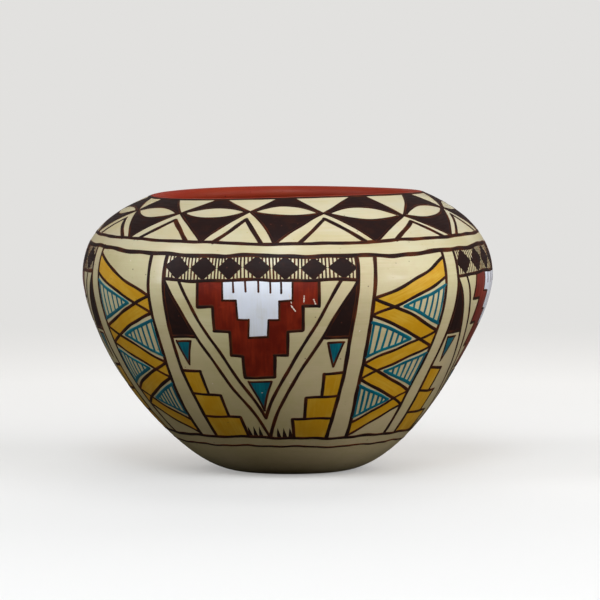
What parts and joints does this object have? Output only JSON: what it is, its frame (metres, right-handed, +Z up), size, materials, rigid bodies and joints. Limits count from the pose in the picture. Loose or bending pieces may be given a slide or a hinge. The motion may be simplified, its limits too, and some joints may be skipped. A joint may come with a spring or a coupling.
{
  "type": "pottery bowl",
  "caption": "Round hand-built earthenware bowl with a wide belly, in-turned shoulder and open mouth; cream slip outside, red slip inside, for holding or display.",
  "frame": {"origin": "centre of the flat disc that the bowl stands on", "axes": "+Z up along the bowl's axis, towards the mouth; -Y faces the viewer of the pictured side"},
  "size_m": [0.14, 0.14, 0.0946],
  "materials": {
    "fired_clay": "bare low-fired earthenware, matte",
    "cream_slip": "stone-polished cream slip, satin",
    "red_slip": "stone-polished red slip, satin",
    "dark_paint": "brown-black mineral paint, fired, thin",
    "red_paint": "red oxide paint, satin",
    "yellow_paint": "yellow ochre paint, satin",
    "turquoise_paint": "blue-green paint, satin",
    "white_paint": "white paint, satin"
  },
  "bodies": {
    "root": {"base_pad": "fired_clay", "wall_coil_1": "fired_clay", "wall_coil_2": "fired_clay", "wall_coil_3": "fired_clay", "wall_coil_4": "fired_clay", "lip_coil": "fired_clay", "cream_slip_coat": "cream_slip", "red_slip_lining": "red_slip"}
  },
  "joints": []
}
